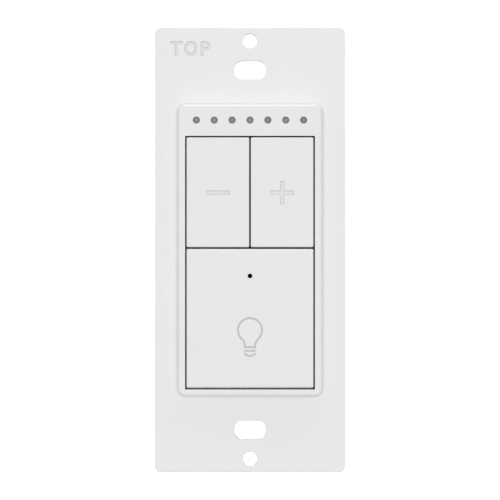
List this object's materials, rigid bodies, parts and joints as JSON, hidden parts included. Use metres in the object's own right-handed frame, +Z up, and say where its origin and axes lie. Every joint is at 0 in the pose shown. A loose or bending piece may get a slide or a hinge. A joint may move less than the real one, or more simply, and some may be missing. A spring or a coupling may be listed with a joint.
{
  "type": "push-key wall dimmer switch",
  "caption": "Wall dimmer on a white metal strap: raised bezel with dim-down and dim-up keys, an on/off paddle with a bulb outline, a row of level lights and a deep rear housing.",
  "frame": {"origin": "centre of the strap's rear face, which sits on the wall, midway between the two wall-plate screw holes", "axes": "+Z up along the strap, +X to the right seen from the front, +Y back into the wall box; the keys face -Y"},
  "size_m": [0.044, 0.0375, 0.103],
  "materials": {
    "strap_paint": "satin white paint",
    "white_plastic": "fine satin",
    "carrier_plastic": "black, fine matte",
    "light_pipe": "clear, frosted tip",
    "smoke_lens": "dark smoked",
    "housing_plastic": "fine spark texture",
    "barrier_plastic": "matte natural",
    "circuit_board": "solder mask",
    "led_body": "clear resin",
    "tact_plastic": "matte",
    "tact_button": "matte",
    "shield_steel": "tin plate",
    "black_epoxy": "moulded epoxy",
    "thermal_rubber": "silicone pad",
    "zinc_steel": "zinc plated",
    "ferrite": "painted ferrite",
    "copper_wire": "enamelled copper",
    "film_box": "moulded box",
    "can_sleeve": "shrink sleeve",
    "fuse_box": "moulded",
    "plated_brass": "bright",
    "nickel_brass": "nickel plated",
    "green_steel": "green passivated"
  },
  "bodies": {
    "chassis": {"mounting_strap": "strap_paint", "strap_standoffs": "zinc_steel", "front_bezel": "white_plastic", "key_carrier": "carrier_plastic", "level_light_pipes": "light_pipe", "level_leds": "led_body", "status_led": "led_body", "status_light_pipe": "light_pipe", "insulating_barrier": "barrier_plastic", "ui_board": "circuit_board", "radio_board": "circuit_board", "radio_shield": "shield_steel", "board_header": "black_epoxy", "power_board": "circuit_board", "mosfet_left": "black_epoxy", "mosfet_right": "black_epoxy", "thermal_pads": "thermal_rubber", "mosfet_screws": "zinc_steel", "choke_core": "ferrite", "choke_winding": "copper_wire", "film_capacitor": "film_box", "bulk_capacitors": "can_sleeve", "fuse": "fuse_box", "rear_housing": "housing_plastic", "rear_cover": "housing_plastic", "housing_screws": "zinc_steel", "terminal_screws": "plated_brass", "ground_clip": "zinc_steel", "ground_screw": "green_steel", "minus_tact": "tact_plastic", "plus_tact": "tact_plastic", "power_tact": "tact_plastic", "terminal_line": "plated_brass", "terminal_load": "plated_brass", "terminal_neutral": "nickel_brass", "terminal_traveler": "plated_brass"},
    "minus_key": {"minus_key": "white_plastic"},
    "plus_key": {"plus_key": "white_plastic"},
    "power_paddle": {"power_paddle": "white_plastic", "status_lens": "smoke_lens"},
    "minus_plunger": {"minus_plunger": "tact_button"},
    "plus_plunger": {"plus_plunger": "tact_button"},
    "power_plunger": {"power_plunger": "tact_button"}
  },
  "joints": [
    {"name": "minus_press", "type": "hinge", "parent": "chassis", "child": "minus_key", "pos_m": [-0.00728, -0.00455, 0.0224], "axis": [1, 0, 0], "range_deg": [0, 1.43], "stiffness_Nm_per_rad": 0.5, "springref_deg": -0.57},
    {"name": "plus_press", "type": "hinge", "parent": "chassis", "child": "plus_key", "pos_m": [0.00728, -0.00455, 0.0224], "axis": [1, 0, 0], "range_deg": [0, 1.43], "stiffness_Nm_per_rad": 0.5, "springref_deg": -0.57},
    {"name": "power_press", "type": "hinge", "parent": "chassis", "child": "power_paddle", "pos_m": [0, -0.00455, -0.0028], "axis": [1, 0, 0], "range_deg": [0, 1.43], "stiffness_Nm_per_rad": 0.5, "springref_deg": -0.57},
    {"name": "minus_click", "type": "slide", "parent": "chassis", "child": "minus_plunger", "axis": [0, 1, 0], "range_m": [0, 0.0003]},
    {"name": "plus_click", "type": "slide", "parent": "chassis", "child": "plus_plunger", "axis": [0, 1, 0], "range_m": [0, 0.0003]},
    {"name": "power_click", "type": "slide", "parent": "chassis", "child": "power_plunger", "axis": [0, 1, 0], "range_m": [0, 0.0003]}
  ],
  "couplings": [
    {"joint": "minus_click", "follows": "minus_press", "m_per_rad": 0.012},
    {"joint": "plus_click", "follows": "plus_press", "m_per_rad": 0.012},
    {"joint": "power_click", "follows": "power_press", "m_per_rad": 0.012}
  ]
}
